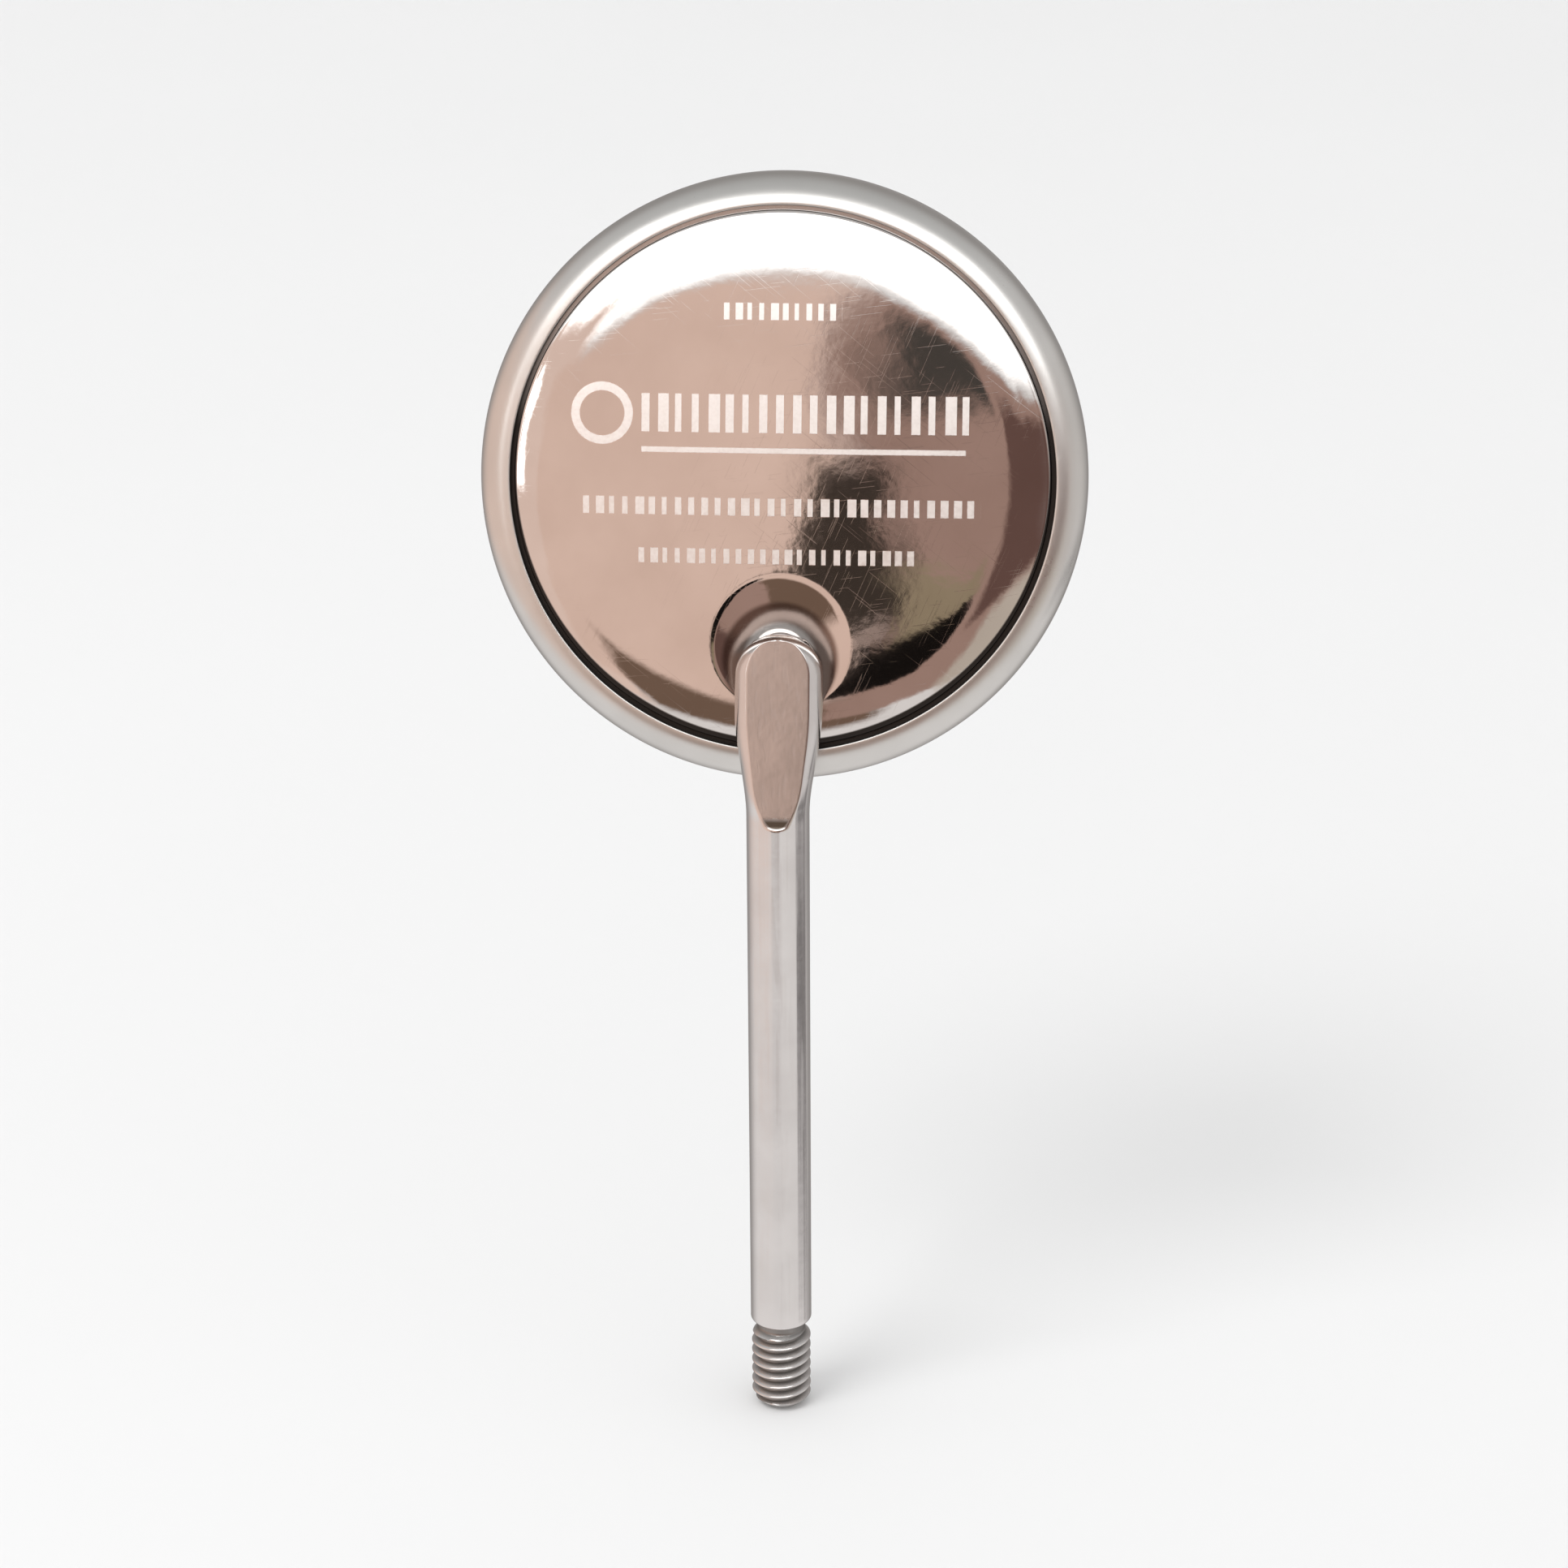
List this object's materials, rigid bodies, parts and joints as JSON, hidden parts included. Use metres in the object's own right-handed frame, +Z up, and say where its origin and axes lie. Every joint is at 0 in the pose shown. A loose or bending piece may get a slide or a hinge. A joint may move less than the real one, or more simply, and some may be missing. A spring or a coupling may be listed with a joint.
{
  "type": "dental mouth mirror",
  "caption": "Dental mouth mirror head: round front-surface mirror in a rolled steel rim, on a bent steel stem with a screw thread for a handle.",
  "frame": {"origin": "centre of the flat end face of the stem's thread", "axes": "+Z up along the stem towards the head; the head's back looks to -Y and its mirror to +Y, tilted 14 degrees down; X is across the head"},
  "size_m": [0.024, 0.0106, 0.0504],
  "materials": {
    "satin_steel": "smooth satin stainless steel, rolled",
    "polished_steel": null,
    "mirror_silver": "front-surface reflecting layer",
    "glass": "clear polished glass disc",
    "sealant": "matte dark sealant",
    "bedding_cement": "matte cream cement",
    "weld_metal": "heat-tinted resistance weld",
    "stem_steel": "drawn and polished stainless steel wire"
  },
  "bodies": {
    "root": {"rim_ring": "satin_steel", "back_cup": "polished_steel", "mirror_coating": "mirror_silver", "glass_disc": "glass", "edge_seal": "sealant", "glass_bedding": "bedding_cement", "weld_joint": "weld_metal", "stem": "stem_steel"}
  },
  "joints": []
}
